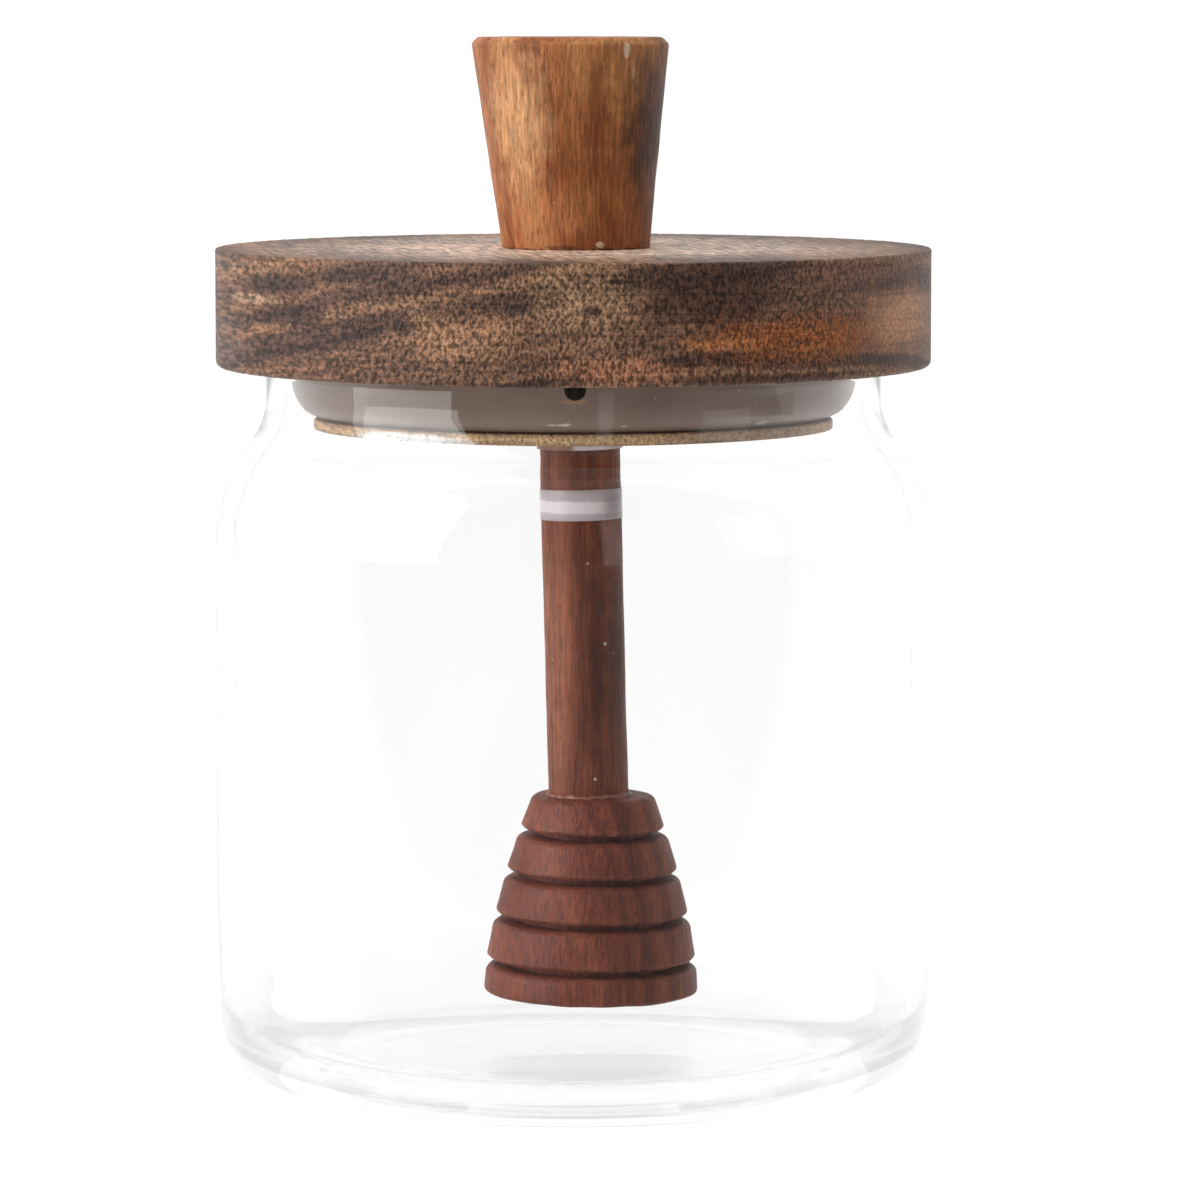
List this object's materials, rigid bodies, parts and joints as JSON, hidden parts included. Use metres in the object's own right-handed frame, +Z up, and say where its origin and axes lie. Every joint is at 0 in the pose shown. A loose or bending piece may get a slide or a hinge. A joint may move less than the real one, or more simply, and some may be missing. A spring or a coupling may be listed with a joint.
{
  "type": "honey jar with dipper",
  "caption": "Round clear glass jar with a soft shoulder, a thick wooden lid with a tapered knob and a seal, and a ribbed wooden dipper hanging from the lid.",
  "frame": {"origin": "centre of the jar's base, on the surface it stands on", "axes": "+Z up the jar to the knob; -Y towards the notch in the seal; the dipper's foot leans towards +X"},
  "size_m": [0.1, 0.1, 0.1452],
  "materials": {
    "jar_glass": "clear, fire-polished moulded glass",
    "lid_wood": "oiled dark acacia, turned and sanded",
    "seal_silicone": "translucent grey silicone, satin",
    "knob_wood": "oiled orange-brown acacia",
    "stem_wood": "oiled red-brown wood, turned",
    "head_wood": "oiled purplish red-brown wood, turned with cut grooves",
    "collar_film": "pale translucent sleeve",
    "band_film": "pale lilac-white film, left blank"
  },
  "bodies": {
    "root": {"jar": "jar_glass", "lid": "lid_wood", "seal": "seal_silicone", "knob": "knob_wood", "stem": "stem_wood", "head": "head_wood", "stem_collar": "collar_film", "stem_band": "band_film"}
  },
  "joints": []
}
